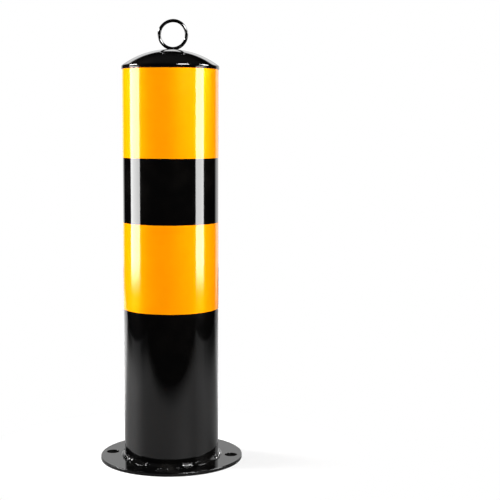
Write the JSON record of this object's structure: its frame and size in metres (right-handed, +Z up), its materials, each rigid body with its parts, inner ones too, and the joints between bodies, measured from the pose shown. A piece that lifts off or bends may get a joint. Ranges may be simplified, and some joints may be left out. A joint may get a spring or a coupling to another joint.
{
  "type": "security bollard",
  "caption": "Short round steel bollard with yellow and black bands, a domed cap with a wire ring, and a round base disc that bolts to the ground.",
  "frame": {"origin": "centre of the base disc's underside, on the ground", "axes": "+Z up along the post; the bolt holes lie on the X and Y axes; the top ring stands in the XZ plane, a little towards +X"},
  "size_m": [0.172, 0.172, 0.5292],
  "materials": {
    "black_coat": "gloss black powder coat on steel",
    "yellow_film": "gloss orange-yellow reflective film"
  },
  "bodies": {
    "root": {"base_flange": "black_coat", "tube": "black_coat", "foot_weld": "black_coat", "upper_yellow_band": "yellow_film", "lower_yellow_band": "yellow_film", "cap": "black_coat", "top_ring": "black_coat", "ring_weld": "black_coat"}
  },
  "joints": []
}
